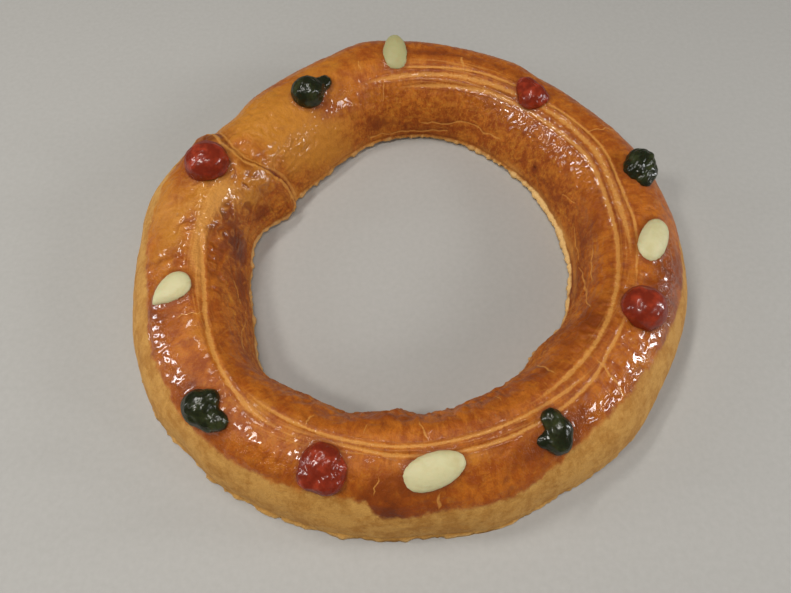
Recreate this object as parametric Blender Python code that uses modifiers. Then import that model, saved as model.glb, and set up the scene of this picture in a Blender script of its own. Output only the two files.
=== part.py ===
"""Christmas wreath pastry: a baked ring of glazed dough, set with candied cherries and blanched almonds.

The roll of dough was laid in a ring by hand and its two ends overlap at one seam. Four red cherries,
four green cherries and four almond halves sit on the crest in turn, pressed a little into the crust.

Run it with  blender --background --python part.py  or from Blender's text editor. Metres, +Z up.
The wreath lies on its flat underside. Headings are degrees anticlockwise from +X, seen from above.
"""

from math import atan2, copysign, cos, degrees, exp, hypot, pi, radians, sin

import bmesh
import bpy
from mathutils import Matrix, Vector, noise

MM = 0.001

# The roll of dough
CREST_RADIUS = 95.3 * MM       # from the middle of the hole to the crest of the roll
CREST_HEIGHT = 36.0 * MM
INNER_REACH = 19.5 * MM        # from the crest to the foot on the hole's side, seen from above
OUTER_REACH = 30.5 * MM        # from the crest to the outer foot
INNER_FULLNESS = 2.0           # superellipse exponents of the two sides: 2 is a plain ellipse
OUTER_FULLNESS = 2.1
WANDER = (                     # the crest leaves a true circle: waves in the ring, size, heading of a peak
    (2, 4.0 * MM, 56),
    (3, 2.7 * MM, 92),
)
SLUMP = 3.5 * MM               # the inner side is this much wider at one heading, and narrower opposite
SLUMP_HEADING = 110
RISE = (                       # the height of the crest also varies: waves round the ring, size, heading
    (2, 1.0 * MM, 150),
    (5, 0.5 * MM, 20),
)

# Swells and pinches of the two feet: heading, half-width in degrees, push away from the crest
INNER_SWELLS = (
    (50, 13, 1.3 * MM),
    (128, 11, 2.2 * MM),
    (172, 10, -5.0 * MM),
    (203, 11, 2.4 * MM),
    (224, 9, -3.4 * MM),
    (252, 4, -2.2 * MM),
    (265, 4, 2.6 * MM),
    (277, 12, -1.6 * MM),
    (319, 9, 4.8 * MM),
)
OUTER_SWELLS = (
    (1, 11, 2.0 * MM),
    (20, 7, 1.2 * MM),
    (55, 17, -5.8 * MM),
    (61, 4, 2.0 * MM),
    (75, 6, -1.4 * MM),
    (102, 7, 4.8 * MM),
    (143, 5, -3.6 * MM),
    (154, 6, 1.6 * MM),
    (168, 11, 7.4 * MM),
    (225, 5, -2.2 * MM),
    (241, 8, -1.3 * MM),
    (285, 7, 2.6 * MM),
    (313, 9, 1.6 * MM),
    (346, 7, 1.8 * MM),
)

# The seam, where one end of the roll lies over the other
SEAM_HEADING = 151.0           # where the seam meets the two feet
SEAM_BOW = 6.0                 # degrees that it bows round the ring in between
SEAM_BOW_ANGLE = 103.0         # angle of the section at which it bows most: 90 is the crest
SEAM_BOW_WIDTH = 32.0
CORE_HEIGHT = 8.0 * MM         # the section's angles are taken about a line at this height
SEAM_STEP = 1.8 * MM           # how far the upper end stands above the lower one
SEAM_FADE = 22.0 * MM          # the step fades into the roll over this length
LIP_HEIGHT = 1.5 * MM          # the rolled edge of the upper end
LIP_WIDTH = 3.0 * MM
TONGUE = 3.5 * MM              # the upper end sticks out into the hole by this much at its foot
TONGUE_WIDTH = 4.5             # half-width of that tongue in degrees

# Relief of the crust
FURROWS = (-6.0 * MM, 6.0 * MM)    # offsets of the shallow valleys between the stretched strands
FURROW_DEPTH = 0.6 * MM
FURROW_WIDTH = 3.2 * MM
LUMP_SIZE = 30.0 * MM          # length of one soft lump
LUMP_HEIGHT = 0.8 * MM
SEAM_AT_BASE = 0.2             # share of the overlap's relief that is left at the base
SEAM_FULL_HEIGHT = 18.0 * MM   # it has all of it from this height up
FLAKE_SIZE = 11.0 * MM         # length of one flake along the foot
FLAKE_REACH = 1.6 * MM         # how far the flakes stand out
FLAKE_HEIGHT = 5.0 * MM        # height at which they end

# The ring's mesh
HEADINGS = 144                 # stations round the ring
SECTION_POINTS = 30            # points round one section
UPPER_SHARE = 0.88             # share of those points that lies above the base
SEAM_CROWDING = 0.35           # how much closer the stations are at the seam
CREST_CROWDING = 0.25          # how much closer the points are at the crest

# Toppings
SEAT_GAP = 0.35 * MM           # the crust is grown by this much to cut each topping's seat
FRAME_HEADING_STEP = 4.0       # a topping's frame is measured over this turn to each side
FRAME_SECTION_STEP = 12.0      # and over this angle of the section
WRINKLES_PER_BALL = 2.2
BALL_SEGMENTS = 14
BALL_RINGS = 8
CHERRY_VOXEL = 1.3 * MM        # size of the faces of a cherry's skin
CHERRY_SOFTENING = 3
CHERRY_LOSS = 0.35 * MM        # the softening takes this much off each ball, so it is added first
CHERRY_FACE_SHARE = 0.32       # share of the skin's faces that is kept
ALMOND_SEGMENTS = 20
ALMOND_RINGS = 9
ALMOND_DOME = 0.9              # share of an almond's thickness that stands above its seat
ALMOND_BELLY = 0.45            # and that lies under it, where the crust cuts it

# Cherries: heading, offset from the crest, flatness, wrinkles, and the balls that each is grown from.
# A ball: millimetres towards +X, towards +Y and up from the crust, radius in millimetres.
RED_CHERRIES = (
    (161.8, 7.5, 0.90, 0.04, ((1.7, -2.4, 1.5, 10.0), (0.2, 3.6, 0, 7.0))),
    (51.3, -2.2, 0.80, 0.08, ((0, -1.5, 1, 6.9), (-2, 3.5, 0.8, 5.6), (4, -2.5, 0, 4.2), (-3, 6.2, 1, 4))),
    (334.2, 7.0, 0.88, 0.01, ((0, 0.5, 1, 9.4),)),
    (253.0, 12.5, 0.75, 0.08,
     ((-1.1, 1, 0, 7.9), (-4, -2.2, 1, 6), (0.6, -3.4, 1, 6.3), (2.9, -1, 0, 5.4))),
)
GREEN_CHERRIES = (
    (124.4, -2.4, 0.95, 0.06, ((1.1, -1.2, 1.4, 7.8), (5.4, 2.8, 0.8, 4.4), (9.1, 6.3, 0.5, 3.6))),
    (15.3, 11.0, 1.00, 0.10,
     ((1, 1.6, 2, 6.7), (-1.2, -1.6, 1, 5.6), (3.3, -2.1, 1, 5.6), (2, -6.3, 0, 3.8))),
    (227.2, 13.2, 0.85, 0.08,
     ((-2.2, 1.2, 1, 6.9), (2.3, 4.2, 0.8, 3.9), (2, -3.2, 0.5, 4.8), (6.3, -3.7, 0.3, 3.9))),
    (298.6, 13.0, 0.90, 0.06,
     ((1.2, -3, 0.5, 5), (1.5, 0.8, 0.8, 5.2), (-1.3, 5.2, 0.5, 3.9), (-5, -2.9, 0, 2.4))),
)
# Almond halves: heading, offset from the crest, length, width, thickness in millimetres,
# heading of the narrow end, how narrow that end is, how blunt the ends are (2 makes an ellipse), and
# how far the narrow end is tipped up in degrees
ALMONDS = (
    (94.0, 4.0, 22.4, 12.7, 4.2, 92, 0.20, 2.6, 12),
    (354.3, 8.5, 24.2, 12.7, 4.4, 60, 0.08, 2.4, 0),
    (199.4, 5.2, 18.6, 12.7, 4.2, 221, 0.42, 2.1, 0),
    (273.8, 12.4, 23.8, 13.0, 4.3, 20, 0.12, 2.3, 0),
)

# name: base colour, roughness, specular level, subsurface weight
MATERIALS = {
    "crust": ((0.42, 0.17, 0.045), 0.42, 0.5, 0.05),
    "red_cherry": ((0.33, 0.018, 0.012), 0.15, 0.5, 0.30),
    "green_cherry": ((0.012, 0.045, 0.016), 0.15, 0.5, 0.20),
    "almond": ((0.74, 0.66, 0.42), 0.55, 0.4, 0.15),
}


def clear_scene():
    """Remove every object of the open file."""
    for item in list(bpy.data.objects):
        bpy.data.objects.remove(item, do_unlink=True)


def make_collection(name):
    """Make a collection in the scene and return it."""
    collection = bpy.data.collections.new(name)
    bpy.context.scene.collection.children.link(collection)
    return collection


def make_material(name):
    """Make one Principled material from the table above."""
    colour, roughness, specular, subsurface = MATERIALS[name]
    material = bpy.data.materials.new(name)
    material.use_nodes = True
    shader = material.node_tree.nodes["Principled BSDF"]
    shader.inputs["Base Color"].default_value = (*colour, 1.0)
    shader.inputs["Roughness"].default_value = roughness
    shader.inputs["Metallic"].default_value = 0.0
    shader.inputs["Specular IOR Level"].default_value = specular
    shader.inputs["Subsurface Weight"].default_value = subsurface
    return material


def turn_between(heading, other):
    """Signed turn in degrees from the other heading to this one, between -180 and 180."""
    return (heading - other + 180.0) % 360.0 - 180.0


def bell(distance, width):
    """A smooth bump: 1 in the middle and nearly 0 at twice the width."""
    return exp(-((distance / width) ** 2))


def swell(heading, table):
    """Sum of the swells and pinches of one foot at a heading."""
    return sum(push * bell(turn_between(heading, at), width) for at, width, push in table)


def waves(heading, table):
    """Sum of the waves that run round the ring."""
    return sum(size * cos(radians(count * (heading - peak))) for count, size, peak in table)


def crest_radius(heading):
    """Distance of the crest from the middle of the hole."""
    return CREST_RADIUS + waves(heading, WANDER)


def crest_height(heading):
    """Height of the crest above the base."""
    return CREST_HEIGHT + waves(heading, RISE)


def reach(heading, outward):
    """Distance from the crest to the foot on one side, seen from above."""
    if outward:
        return OUTER_REACH + swell(heading, OUTER_SWELLS)
    slump = SLUMP * cos(radians(heading - SLUMP_HEADING))
    return INNER_REACH + slump + swell(heading, INNER_SWELLS)


def past_seam(heading, offset, height):
    """Turn in degrees from the bowed line of the seam to a place on the crust."""
    angle = degrees(atan2(height - CORE_HEIGHT, offset))
    bow = SEAM_BOW * bell(turn_between(angle, SEAM_BOW_ANGLE), SEAM_BOW_WIDTH)
    return turn_between(heading, SEAM_HEADING + bow)


def seam_relief(heading, offset, height):
    """Height of the overlap: a step that fades along the upper end, its rolled lip and a groove."""
    run = radians(past_seam(heading, offset, height)) * (crest_radius(heading) + offset)
    groove = -LIP_HEIGHT * bell(run + LIP_WIDTH, LIP_WIDTH)
    if run < 0.0:
        return groove
    lip = LIP_HEIGHT * bell(run - LIP_WIDTH, LIP_WIDTH)
    return groove + lip + SEAM_STEP * exp(-run / SEAM_FADE)


def crust_relief(heading, offset, height):
    """Distance that the crust stands out from the plain section at one place."""
    here = Vector((cos(radians(heading)), sin(radians(heading)), 0.0)) * (crest_radius(heading) + offset)
    here.z = height
    lumps = LUMP_HEIGHT * noise.noise(here / LUMP_SIZE)
    furrows = sum(-FURROW_DEPTH * bell(offset - at, FURROW_WIDTH) for at in FURROWS)
    flakes = FLAKE_REACH * abs(noise.noise(here / FLAKE_SIZE)) * bell(height, FLAKE_HEIGHT)
    seam = seam_relief(heading, offset, height) * min(1.0, SEAM_AT_BASE + height / SEAM_FULL_HEIGHT)
    return lumps + furrows + flakes + seam


def crust_point(heading, angle):
    """Point of the crust: angle 0 is the outer foot, 90 the crest and 180 the inner foot."""
    outward = angle < 90.0
    power = 2.0 / (OUTER_FULLNESS if outward else INNER_FULLNESS)
    side = cos(radians(angle))
    rise = max(sin(radians(angle)), 0.0)
    offset = copysign(reach(heading, outward) * abs(side) ** power, side)
    height = crest_height(heading) * rise ** power
    relief = crust_relief(heading, offset, height)
    if not outward:
        low = 1.0 - height / crest_height(heading)
        past = past_seam(heading, offset, height)
        offset -= TONGUE * low * bell(past - TONGUE_WIDTH, TONGUE_WIDTH)
    # The relief stands out from the core of the roll, and fades at the base, which stays flat
    spread = hypot(offset, height)
    offset += relief * offset / spread
    height += relief * height / spread
    radius = crest_radius(heading) + offset
    return Vector((radius * cos(radians(heading)), radius * sin(radians(heading)), height))


def base_point(heading, share):
    """Point of the flat underside: share runs from 0 at the inner foot to 1 at the outer foot."""
    inner = crust_point(heading, 180.0)
    outer = crust_point(heading, 0.0)
    return inner.lerp(outer, share)


def make_ring(collection, material):
    """The dough: a torus whose points are moved to the section of the roll at each heading."""
    bpy.ops.mesh.primitive_torus_add(
        major_segments=HEADINGS,
        minor_segments=SECTION_POINTS,
        major_radius=CREST_RADIUS,
        minor_radius=INNER_REACH,
    )
    ring = bpy.context.object
    ring.name = "pastry_ring"
    for vertex in ring.data.vertices:
        x, y, z = vertex.co
        heading = degrees(atan2(y, x))
        heading -= degrees(SEAM_CROWDING) * sin(radians(turn_between(heading, SEAM_HEADING)))
        share = atan2(z, hypot(x, y) - CREST_RADIUS) / (2.0 * pi) % 1.0
        if share <= UPPER_SHARE:
            angle = 180.0 * share / UPPER_SHARE
            angle += degrees(CREST_CROWDING) * 0.5 * sin(radians(2.0 * angle))
            vertex.co = crust_point(heading, angle)
        else:
            vertex.co = base_point(heading, (share - UPPER_SHARE) / (1.0 - UPPER_SHARE))
    ring.data.shade_smooth()
    ring.data.set_sharp_from_angle(angle=radians(60))
    ring.data.materials.append(material)
    move_to(collection, ring)
    split_quads(ring)
    return ring


def split_quads(item):
    """Split the object's faces on fixed diagonals, so that the crust and its grown copy match."""
    split = item.modifiers.new("diagonals", "TRIANGULATE")
    split.quad_method = "FIXED"


def move_to(collection, item):
    """Put an object in one collection only."""
    for other in list(item.users_collection):
        other.objects.unlink(item)
    collection.objects.link(item)


def make_seat_cutter(collection, ring):
    """A copy of the ring, grown a little, that cuts the underside of every topping to the crust."""
    cutter = bpy.data.objects.new("seat_cutter", ring.data.copy())
    grown = bmesh.new()
    grown.from_mesh(cutter.data)
    grown.normal_update()
    places = [vertex.co + vertex.normal * SEAT_GAP for vertex in grown.verts]
    for vertex, place in zip(grown.verts, places):
        vertex.co = place
    grown.to_mesh(cutter.data)
    grown.free()
    hide_helper(cutter)
    collection.objects.link(cutter)
    split_quads(cutter)
    return cutter


def hide_helper(item):
    """Show a cutter or a joined piece as wire only."""
    item.hide_render = True
    item.display_type = "WIRE"


def crust_frame(heading, offset):
    """Frame on the crust: its origin on the surface, z along the normal and x level, towards +X."""
    outward = offset > 0.0
    power = (OUTER_FULLNESS if outward else INNER_FULLNESS) / 2.0
    side = min(abs(offset) / reach(heading, outward), 1.0) ** power
    angle = degrees(atan2((1.0 - side * side) ** 0.5, copysign(side, offset)))
    ahead = crust_point(heading + FRAME_HEADING_STEP, angle)
    behind = crust_point(heading - FRAME_HEADING_STEP, angle)
    outer = crust_point(heading, max(angle - FRAME_SECTION_STEP, 0.0))
    inner = crust_point(heading, min(angle + FRAME_SECTION_STEP, 180.0))
    up = (outer - inner).cross(ahead - behind).normalized()
    east = (Vector((1.0, 0.0, 0.0)) - up * up.x).normalized()
    north = up.cross(east)
    frame = Matrix((east, north, up)).transposed().to_4x4()
    frame.translation = crust_point(heading, angle)
    return frame


def shaped_ball(name, segments, rings, place):
    """A ball as an object, each point moved by a function of its direction from the middle."""
    shape = bmesh.new()
    bmesh.ops.create_uvsphere(shape, u_segments=segments, v_segments=rings, radius=1.0)
    for vertex in shape.verts:
        vertex.co = place(vertex.co.normalized())
    mesh = bpy.data.meshes.new(name)
    shape.to_mesh(mesh)
    shape.free()
    mesh.shade_smooth()
    return bpy.data.objects.new(name, mesh)


def set_on_crust(item, frame, collection, material):
    """Place an object in a frame on the crust."""
    item.location = frame.to_translation()
    item.rotation_euler = frame.to_euler()
    item.data.materials.append(material)
    collection.objects.link(item)


def add_boolean(item, operation, other):
    """Add one Boolean modifier."""
    modifier = item.modifiers.new(operation.lower(), "BOOLEAN")
    modifier.operation = operation
    modifier.object = other


def soften_folds(cherry):
    """Blend the joined balls into one softly folded fruit."""
    skin = cherry.modifiers.new("skin", "REMESH")
    skin.mode = "VOXEL"
    skin.voxel_size = CHERRY_VOXEL
    skin.use_smooth_shade = True
    soft = cherry.modifiers.new("soft", "SMOOTH")
    soft.factor = 0.5
    soft.iterations = CHERRY_SOFTENING
    fewer = cherry.modifiers.new("fewer", "DECIMATE")
    fewer.ratio = CHERRY_FACE_SHARE


def cherry_ball(ball, flatness, wrinkle, seed):
    """Place function of one ball of a cherry, softly wrinkled and flattened."""
    east, north, up, radius = (size * MM for size in ball)

    def place(direction):
        swelling = 1.0 + wrinkle * noise.noise(direction * WRINKLES_PER_BALL + Vector((seed, 0.0, 0.0)))
        point = Vector((east, north, up)) + direction * (radius * swelling + CHERRY_LOSS)
        point.z *= flatness
        return point

    return place


def almond_half(length, width, thickness, narrowing, bluntness):
    """Place function of an almond half: a blunt egg outline, domed above and nearly flat below."""
    def place(direction):
        x, y, z = direction
        level = hypot(x, y)
        if level > 1e-6:
            fuller = (abs(x / level) ** bluntness + abs(y / level) ** bluntness) ** (-1.0 / bluntness)
            x, y = x * fuller, y * fuller
        breadth = width * (1.0 - narrowing * x - 0.5 * narrowing * x * x)
        depth = thickness * (ALMOND_DOME if z > 0.0 else ALMOND_BELLY)
        return Vector((0.5 * length * x, 0.5 * breadth * y, depth * z)) * MM

    return place


def make_cherries(kind, table, parts, cutters, material, seat):
    """All cherries of one colour: balls joined into one body, with the crust's shape cut away."""
    made = []
    helpers = []
    for number, (heading, offset, flatness, wrinkle, balls) in enumerate(table, start=1):
        frame = crust_frame(heading, offset * MM)
        name = f"{kind}_{number}"
        for index, ball in enumerate(balls):
            place = cherry_ball(ball, flatness, wrinkle, 7.0 * number + 3.0 * index)
            lump = shaped_ball(f"{name}_ball_{index}", BALL_SEGMENTS, BALL_RINGS, place)
            if index == 0:
                cherry = lump
                cherry.name = name
                set_on_crust(cherry, frame, parts, material)
            else:
                set_on_crust(lump, frame, cutters, material)
                hide_helper(lump)
                add_boolean(cherry, "UNION", lump)
                helpers.append(lump)
        soften_folds(cherry)
        add_boolean(cherry, "DIFFERENCE", seat)
        made.append(cherry)
    return made, helpers


def make_almonds(parts, material, seat):
    """All almond halves, each turned so that its narrow end points to its own heading."""
    made = []
    for number, row in enumerate(ALMONDS, start=1):
        heading, offset, length, width, thickness, points_to, narrowing, bluntness, tipped = row
        turned = Matrix.Rotation(radians(points_to), 4, "Z") @ Matrix.Rotation(radians(-tipped), 4, "Y")
        frame = crust_frame(heading, offset * MM) @ turned
        place = almond_half(length, width, thickness, narrowing, bluntness)
        almond = shaped_ball(f"almond_{number}", ALMOND_SEGMENTS, ALMOND_RINGS, place)
        set_on_crust(almond, frame, parts, material)
        add_boolean(almond, "DIFFERENCE", seat)
        made.append(almond)
    return made


def stand_on_origin(wreath, pieces):
    """Move the parent so that the origin is under the middle of the whole wreath's box."""
    bpy.context.view_layer.update()
    graph = bpy.context.evaluated_depsgraph_get()
    points = []
    for piece in pieces:
        evaluated = piece.evaluated_get(graph)
        points += [evaluated.matrix_world @ vertex.co for vertex in evaluated.data.vertices]
    low = [min(point[axis] for point in points) for axis in range(3)]
    high = [max(point[axis] for point in points) for axis in range(3)]
    wreath.location = (-(low[0] + high[0]) / 2.0, -(low[1] + high[1]) / 2.0, -low[2])


def build():
    """Make the whole wreath."""
    clear_scene()
    parts = make_collection("christmas_wreath_pastry")
    cutters = make_collection("cutters")
    materials = {name: make_material(name) for name in MATERIALS}

    ring = make_ring(parts, materials["crust"])
    seat = make_seat_cutter(cutters, ring)
    pieces = [ring]
    helpers = [seat]
    for kind, table in (("red_cherry", RED_CHERRIES), ("green_cherry", GREEN_CHERRIES)):
        cherries, balls = make_cherries(kind, table, parts, cutters, materials[kind], seat)
        pieces += cherries
        helpers += balls
    pieces += make_almonds(parts, materials["almond"], seat)

    wreath = bpy.data.objects.new("wreath", None)
    parts.objects.link(wreath)
    for item in pieces + helpers:
        item.parent = wreath
    stand_on_origin(wreath, pieces)


build()
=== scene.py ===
# %% [markdown]
# # A glazed Christmas wreath of pastry
#
# The real wreath is one thick roll of dough, laid in a ring by hand so that its ends overlap, brushed
# with syrup and baked. Candied cherries and blanched almond halves sit on its crest. The measured model
# already gives each piece its true form, but in flat facets and with bare surfaces. This lesson grows
# a fine skin on those forms, raises the small relief that the oven makes, and finishes every surface
# with shader nodes.

# %% Load the measured model
import math

import bmesh
import bpy
import numpy as np
from mathutils import Matrix, Vector, noise
from mathutils.bvhtree import BVHTree


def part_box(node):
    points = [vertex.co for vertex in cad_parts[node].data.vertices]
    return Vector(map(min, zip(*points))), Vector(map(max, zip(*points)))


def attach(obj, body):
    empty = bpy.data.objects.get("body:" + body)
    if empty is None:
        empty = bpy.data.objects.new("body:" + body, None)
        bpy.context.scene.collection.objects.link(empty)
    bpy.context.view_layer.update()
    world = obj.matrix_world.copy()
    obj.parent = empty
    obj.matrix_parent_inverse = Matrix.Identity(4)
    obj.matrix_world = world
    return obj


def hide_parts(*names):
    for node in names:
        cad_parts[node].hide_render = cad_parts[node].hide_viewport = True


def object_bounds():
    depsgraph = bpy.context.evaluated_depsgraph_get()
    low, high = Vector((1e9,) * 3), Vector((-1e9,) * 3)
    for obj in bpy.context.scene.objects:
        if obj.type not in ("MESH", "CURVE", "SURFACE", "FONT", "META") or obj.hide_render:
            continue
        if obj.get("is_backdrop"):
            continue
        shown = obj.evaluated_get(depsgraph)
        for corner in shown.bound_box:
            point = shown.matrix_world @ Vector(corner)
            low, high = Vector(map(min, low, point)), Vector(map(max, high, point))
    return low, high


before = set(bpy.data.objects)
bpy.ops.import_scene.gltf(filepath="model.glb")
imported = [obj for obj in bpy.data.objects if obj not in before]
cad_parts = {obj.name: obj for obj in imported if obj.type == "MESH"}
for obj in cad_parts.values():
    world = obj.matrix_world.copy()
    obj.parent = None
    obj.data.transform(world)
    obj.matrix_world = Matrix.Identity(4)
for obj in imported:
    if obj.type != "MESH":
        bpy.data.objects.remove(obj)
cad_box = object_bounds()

MM = 0.001
print("nodes:", ", ".join(sorted(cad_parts)))
print("box in mm:", [round(size / MM, 1) for size in (cad_box[1] - cad_box[0])])

# %% [markdown]
# ## Finding one's way on the ring
#
# Every mark on the crust has a place, and a ring is best described by two angles. The heading goes
# round the wreath, anticlockwise from the right. The section angle goes round the roll itself, from 0
# at the outer side over 90 at the crest to 180 on the hole's side. Plain x and y would also work, but
# a crack that follows the roll would then need many points, where two angles need a few.

# %% The ring's own coordinates
HOLE_MIDDLE = Vector((0.29, -2.45, 0.0)) * MM
CREST_RADIUS = 95.3
CORE_HEIGHT = 8.0
# waves in a turn, height in mm, heading of a wave's top
WANDER = ((2, 4.0, 56), (3, 2.7, 92))


def crest_radius(heading):
    """Distance in mm from the middle of the hole to the crest of the roll."""
    waves = sum(size * np.cos(np.radians(count * (heading - peak))) for count, size, peak in WANDER)
    return CREST_RADIUS + waves


def turn(heading, other):
    """Signed turn in degrees from the other heading to this one."""
    return (heading - other + 180.0) % 360.0 - 180.0


def bell(distance, width):
    """A smooth bump: 1 in the middle and nearly 0 at twice the width."""
    return np.exp(-((distance / width) ** 2))


def ease(value, low, high):
    """Rises smoothly from 0 at low to 1 at high."""
    share = np.clip((value - low) / (high - low), 0.0, 1.0)
    return share * share * (3.0 - 2.0 * share)


print("crest at the right:", round(float(crest_radius(0.0)), 1), "mm from the middle")

# %% [markdown]
# ## A fine skin over the roll
#
# The measured roll has flat facets of about 4 mm. A Subdivision Surface modifier would round them, but
# would spend as many faces on the flat underside as on the crest. Instead a regular grid is laid round
# the roll: from its core, rays go out in every direction, and each finds the surface. The lengths of
# the rays are then blurred a little, which takes the facets away and keeps the form.

# %% Feel the surface with rays
STATIONS = 1000
UPPER_POINTS = 170
BASE_POINTS = 12
UPPER_SPAN = 113.0
CREST_CROWDING = 0.10


def surface_of(node):
    """A search tree of a measured piece's faces."""
    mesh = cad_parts[node].data
    corners = [vertex.co.copy() for vertex in mesh.vertices]
    return BVHTree.FromPolygons(corners, [tuple(face.vertices) for face in mesh.polygons])


def section_angles():
    """Angles round one section: close together at the crest, then a few along the base."""
    share = np.linspace(-1.0, 1.0, UPPER_POINTS)
    upper = 90.0 + UPPER_SPAN * ((1.0 - CREST_CROWDING) * share + CREST_CROWDING * share**3)
    base = np.linspace(upper[-1], upper[0] + 360.0, BASE_POINTS + 2)[1:-1]
    return np.concatenate([upper, base])


roll_surface = surface_of("pastry_ring")
station_headings = np.arange(STATIONS) * 360.0 / STATIONS
angles = section_angles()
heading, angle = np.meshgrid(station_headings, angles, indexing="ij")
core_radius = crest_radius(heading)
reach = np.zeros_like(heading)
for i, j in np.ndindex(heading.shape):
    h, a = math.radians(heading[i, j]), math.radians(angle[i, j])
    outward = Vector((math.cos(h), math.sin(h), 0.0))
    core = HOLE_MIDDLE + outward * core_radius[i, j] * MM + Vector((0.0, 0.0, CORE_HEIGHT * MM))
    ray = outward * math.cos(a) + Vector((0.0, 0.0, math.sin(a)))
    reach[i, j] = roll_surface.ray_cast(core, ray)[3] / MM
is_base = angle > 90.0 + UPPER_SPAN + 1.0
print("grid", reach.shape, "reach from", round(reach.min(), 1), "to", round(reach.max(), 1), "mm")

# %% Blur the facets away
FACET_BLUR_STATIONS = 3.2
FACET_BLUR_POINTS = 3.4
FOOT_FROM_CREST = (97.0, 105.0)


def blur(values, width, axis):
    """Gaussian blur of a grid that closes on itself."""
    steps = range(-int(3 * width), int(3 * width) + 1)
    weights = [math.exp(-0.5 * (step / width) ** 2) for step in steps]
    total = sum(weight * np.roll(values, step, axis) for step, weight in zip(steps, weights))
    return total / sum(weights)


near_foot = ease(np.abs(angle - 90.0), *FOOT_FROM_CREST)
reach = blur(reach, FACET_BLUR_STATIONS, 0)
reach = near_foot * reach + (1.0 - near_foot) * blur(reach, FACET_BLUR_POINTS, 1)


def place_skin(lengths):
    """Points of the skin, in mm, for the lengths of the rays."""
    level = core_radius + lengths * np.cos(np.radians(angle))
    x = HOLE_MIDDLE.x / MM + level * np.cos(np.radians(heading))
    y = HOLE_MIDDLE.y / MM + level * np.sin(np.radians(heading))
    z = CORE_HEIGHT + lengths * np.sin(np.radians(angle))
    return np.stack([x, y, np.maximum(z, 0.0)], axis=-1)


def grid_normals(points):
    """Unit normals of a closed grid of points."""
    around = np.roll(points, -1, 0) - np.roll(points, 1, 0)
    across = np.roll(points, -1, 1) - np.roll(points, 1, 1)
    normals = np.cross(around, across)
    return normals / np.maximum(np.linalg.norm(normals, axis=-1, keepdims=True), 1e-9)


smooth_roll = place_skin(reach)
outward_normals = grid_normals(smooth_roll)
above_ground = smooth_roll[..., 2]
print("roll is", round(above_ground.max(), 1), "mm tall; its crest faces",
      outward_normals[0, UPPER_POINTS // 2].round(2))

# %% [markdown]
# ## Noise and lines on the skin
#
# Baked dough is uneven at every size. Perlin noise read at the skin's own points gives lumps without
# a seam. Stretched dough has marks that are long round the ring and short across it, so their noise is
# read in stretched coordinates. A line on the crust is a short list of places, joined smoothly, and
# the distance from it in mm makes both its groove and its colour.

# %% Helpers for relief and masks
NO_LINE = 9.0
TIP_WIDTH = 0.12
TIP_OVERRUN = 0.1
LINE_BLUR = 3.0
LINE_FADES = (4.0, 7.0)
SECTION_MM = 0.45
mm_per_degree = reach * math.pi / 180.0
mm_per_heading = core_radius * math.pi / 180.0


def soft_noise(size, seed):
    """Perlin noise over the skin, with lumps of a size in mm."""
    shift = Vector((seed, 2.0 * seed, 0.0))
    flat = smooth_roll.reshape(-1, 3) / size
    values = [noise.noise(Vector(place) + shift) for place in flat]
    return np.array(values).reshape(heading.shape)


fine_wobble = soft_noise(5.0, seed=11.0)
broad_wobble = soft_noise(16.0, seed=4.0)
WOBBLE_AROUND = 1.2
WOBBLE_ACROSS = 0.9


def stretched_noise(size_around, size_across, seed):
    """Noise with marks of one size round the ring and another across the roll, bent a little."""
    ring = CREST_RADIUS / size_around
    x = ring * np.cos(np.radians(heading)) + seed + WOBBLE_AROUND * fine_wobble
    y = ring * np.sin(np.radians(heading)) + WOBBLE_AROUND * broad_wobble
    z = (angle - 90.0) * SECTION_MM / size_across + 3.0 * seed + WOBBLE_ACROSS * fine_wobble
    flat = np.stack([x, y, z], axis=-1).reshape(-1, 3)
    return np.array([noise.noise(Vector(place)) for place in flat]).reshape(heading.shape)


def line_angle(places, softness=LINE_BLUR):
    """Section angle of a line at every heading, and how far inside the line's ends each heading is."""
    at, level = np.array(places, float).T
    middle = 0.5 * (at[0] + at[-1])
    round_to = middle + turn(station_headings, middle)
    fine = np.interp(round_to, at, level)
    inside = np.minimum(round_to - at[0], at[-1] - round_to)
    return blur(fine, softness, 0)[:, None], inside[:, None]


def tapered(away, inside, half_width, taper_length):
    """A line's distance counted in its own half-widths, and how open the line is, from 0 to 1."""
    opening = ease(inside, -TIP_OVERRUN * taper_length, taper_length)
    counted = away / (half_width * (TIP_WIDTH + (1.0 - TIP_WIDTH) * opening))
    return np.where(opening > 0.0, np.clip(counted, -NO_LINE, NO_LINE), NO_LINE), opening


def draw_line(group, away, opening):
    """Keep in a group the distance to this line wherever it is the nearest one."""
    nearer = np.abs(away) < np.abs(group["away"])
    group["away"] = np.where(nearer, away, group["away"])
    shown = opening * (1.0 - ease(np.abs(away), *LINE_FADES))
    group["open"] = np.maximum(group["open"], shown)


def empty_group():
    """A group of lines that hasn't any line yet."""
    return {"away": np.full_like(reach, NO_LINE), "open": np.zeros_like(reach)}


def about(at_heading, width):
    """1 at a heading, and nearly 0 at twice the width to either side."""
    return bell(turn(heading, at_heading), width)


def patch(at_heading, at_angle, heading_width, angle_width):
    """A soft patch of the skin. The tables of patches below add a strength to these four."""
    return about(at_heading, heading_width) * bell(angle - at_angle, angle_width)


def total_of(patches):
    """Sum of soft patches, each with its own strength."""
    return sum(strength * patch(*place) for *place, strength in patches)


def cover(mask):
    """How much of the grid a mask covers, in words."""
    return f"{100 * float((mask > 0.5).mean()):.1f}% of the grid"


print("noise from", round(fine_wobble.min(), 2), "to", round(fine_wobble.max(), 2))

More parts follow.
